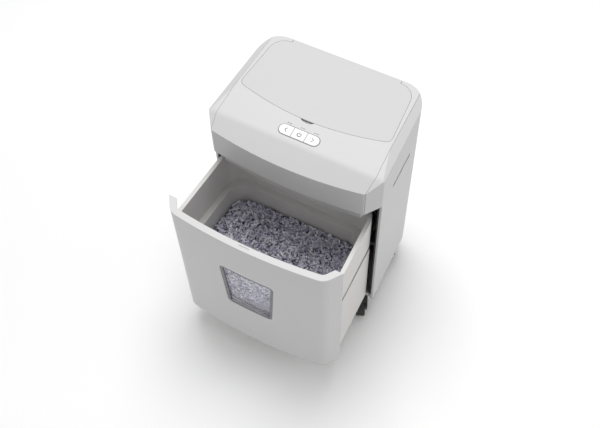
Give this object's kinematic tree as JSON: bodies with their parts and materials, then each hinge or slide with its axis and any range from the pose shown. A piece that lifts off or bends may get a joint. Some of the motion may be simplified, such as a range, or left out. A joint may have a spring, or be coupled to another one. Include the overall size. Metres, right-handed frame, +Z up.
{
  "type": "paper shredder",
  "caption": "Office paper shredder on casters with a pull-out waste bin, a hinged lid over the feed throat and a row of keys on a sloping head.",
  "frame": {"origin": "on the floor under the middle of the outline, with the bin pulled out by 155 mm", "axes": "+Z up, -Y towards the front where the bin pulls out, +X to the right of a person facing the front"},
  "size_m": [0.36, 0.412, 0.5244],
  "materials": {
    "shell": "fine moulded texture, satin",
    "lid_shell": "fine moulded texture, satin",
    "front_shell": "fine moulded texture, satin",
    "rear_shell": "fine moulded texture, satin",
    "key_white": "smooth, semi-gloss",
    "bezel_grey": "satin",
    "bin_plastic": "satin",
    "inner_grey": "satin",
    "frame_dark": "satin",
    "rocker_black": "semi-gloss",
    "window_trim": "satin",
    "window_clear": "clear, moulded",
    "shredded_paper": "loose cross-cut flakes",
    "cutter_steel": "ground",
    "plate_steel": "zinc plated",
    "bush_brass": "sintered",
    "comb_plastic": "satin",
    "gear_nylon": "natural nylon",
    "motor_paint": "satin paint",
    "rotor_steel": "turned",
    "board": "satin solder mask",
    "caster_black": "satin",
    "caster_tread": "satin",
    "axle_steel": "turned"
  },
  "bodies": {
    "cabinet": {"side_panel_left": "shell", "side_panel_right": "shell", "head_cover": "shell", "rear_panel": "rear_shell", "button_bezel": "bezel_grey", "feed_tray": "inner_grey", "paper_guide_front": "inner_grey", "paper_guide_rear": "inner_grey", "head_tub": "inner_grey", "base_tray": "inner_grey", "frame_left": "frame_dark", "frame_right": "frame_dark", "mains_inlet": "frame_dark", "mains_switch": "frame_dark", "interlock_switch": "frame_dark", "cutter_plate_left": "plate_steel", "cutter_plate_right": "plate_steel", "cutter_rods": "plate_steel", "screws": "plate_steel", "lid_hinge_pins": "plate_steel", "idler_pin": "plate_steel", "shaft_bushes": "bush_brass", "comb_front": "comb_plastic", "comb_rear": "comb_plastic", "motor_housing": "motor_paint", "control_board": "board", "power_board": "board", "caster_sockets": "caster_black"},
    "drawer": {"drawer_front": "front_shell", "window_frame": "window_trim", "window_pane": "window_clear", "waste_bin": "bin_plastic", "drawer_sides": "bin_plastic", "paper_shreds": "shredded_paper"},
    "lid": {"lid": "lid_shell"},
    "key_reverse": {"button_reverse": "key_white"},
    "key_power": {"button_power": "key_white"},
    "key_forward": {"button_forward": "key_white"},
    "cutter_front": {"cutter_shaft_front": "cutter_steel", "cutter_discs_front": "cutter_steel", "timing_gear_front": "gear_nylon", "drive_gear": "gear_nylon"},
    "cutter_rear": {"cutter_shaft_rear": "cutter_steel", "cutter_discs_rear": "cutter_steel", "timing_gear_rear": "gear_nylon"},
    "idler": {"idler_gear": "gear_nylon"},
    "rotor": {"motor_rotor": "rotor_steel"},
    "rocker": {"switch_rocker": "rocker_black"},
    "fork_front_left": {"caster_fork_front_left": "caster_black", "caster_axle_front_left": "axle_steel"},
    "wheel_front_left": {"caster_wheel_front_left": "caster_tread"},
    "fork_front_right": {"caster_fork_front_right": "caster_black", "caster_axle_front_right": "axle_steel"},
    "wheel_front_right": {"caster_wheel_front_right": "caster_tread"},
    "fork_rear_left": {"caster_fork_rear_left": "caster_black", "caster_axle_rear_left": "axle_steel"},
    "wheel_rear_left": {"caster_wheel_rear_left": "caster_tread"},
    "fork_rear_right": {"caster_fork_rear_right": "caster_black", "caster_axle_rear_right": "axle_steel"},
    "wheel_rear_right": {"caster_wheel_rear_right": "caster_tread"}
  },
  "joints": [
    {"name": "drawer_slide", "type": "slide", "parent": "cabinet", "child": "drawer", "axis": [0, -1, 0], "range_m": [-0.155, 0.025]},
    {"name": "lid_hinge", "type": "hinge", "parent": "cabinet", "child": "lid", "pos_m": [0, 0.2034, 0.5219], "axis": [-1, 0, 0], "range_deg": [0, 95]},
    {"name": "key_reverse_press", "type": "slide", "parent": "cabinet", "child": "key_reverse", "axis": [0, 0.1724, -0.985], "range_m": [0, 0.001], "stiffness_N_per_m": 300},
    {"name": "key_power_press", "type": "slide", "parent": "cabinet", "child": "key_power", "axis": [0, 0.1724, -0.985], "range_m": [0, 0.001], "stiffness_N_per_m": 300},
    {"name": "key_forward_press", "type": "slide", "parent": "cabinet", "child": "key_forward", "axis": [0, 0.1724, -0.985], "range_m": [0, 0.001], "stiffness_N_per_m": 300},
    {"name": "cutter_front_spin", "type": "hinge", "parent": "cabinet", "child": "cutter_front", "pos_m": [0, 0.114, 0.452], "axis": [1, 0, 0], "continuous": true},
    {"name": "cutter_rear_spin", "type": "hinge", "parent": "cabinet", "child": "cutter_rear", "pos_m": [0, 0.15, 0.452], "axis": [1, 0, 0], "continuous": true},
    {"name": "idler_spin", "type": "hinge", "parent": "cabinet", "child": "idler", "pos_m": [0, 0.0752, 0.452], "axis": [1, 0, 0], "continuous": true},
    {"name": "rotor_spin", "type": "hinge", "parent": "cabinet", "child": "rotor", "pos_m": [0, 0.04, 0.452], "axis": [1, 0, 0], "continuous": true},
    {"name": "rocker_tilt", "type": "hinge", "parent": "cabinet", "child": "rocker", "pos_m": [-0.06, 0.199, 0.112], "axis": [-1, 0, 0], "range_deg": [0, 18]},
    {"name": "swivel_front_left", "type": "hinge", "parent": "cabinet", "child": "fork_front_left", "pos_m": [-0.146, 0.01, 0.06], "axis": [0, 0, 1], "continuous": true},
    {"name": "roll_front_left", "type": "hinge", "parent": "fork_front_left", "child": "wheel_front_left", "pos_m": [-0.1553, -0.00994, 0.024], "axis": [-0.9063, 0.4226, 0], "continuous": true},
    {"name": "swivel_front_right", "type": "hinge", "parent": "cabinet", "child": "fork_front_right", "pos_m": [0.146, 0.01, 0.06], "axis": [0, 0, 1], "continuous": true},
    {"name": "roll_front_right", "type": "hinge", "parent": "fork_front_right", "child": "wheel_front_right", "pos_m": [0.1553, -0.00994, 0.024], "axis": [-0.9063, -0.4226, 0], "continuous": true},
    {"name": "swivel_rear_left", "type": "hinge", "parent": "cabinet", "child": "fork_rear_left", "pos_m": [-0.146, 0.17, 0.06], "axis": [0, 0, 1], "continuous": true},
    {"name": "roll_rear_left", "type": "hinge", "parent": "fork_rear_left", "child": "wheel_rear_left", "pos_m": [-0.15169, 0.14875, 0.024], "axis": [-0.9659, 0.2588, 0], "continuous": true},
    {"name": "swivel_rear_right", "type": "hinge", "parent": "cabinet", "child": "fork_rear_right", "pos_m": [0.146, 0.17, 0.06], "axis": [0, 0, 1], "continuous": true},
    {"name": "roll_rear_right", "type": "hinge", "parent": "fork_rear_right", "child": "wheel_rear_right", "pos_m": [0.15169, 0.14875, 0.024], "axis": [-0.9659, -0.2588, 0], "continuous": true}
  ],
  "couplings": [
    {"joint": "cutter_rear_spin", "follows": "cutter_front_spin", "ratio": -1},
    {"joint": "idler_spin", "follows": "cutter_front_spin", "ratio": -3},
    {"joint": "rotor_spin", "follows": "cutter_front_spin", "ratio": 11}
  ]
}
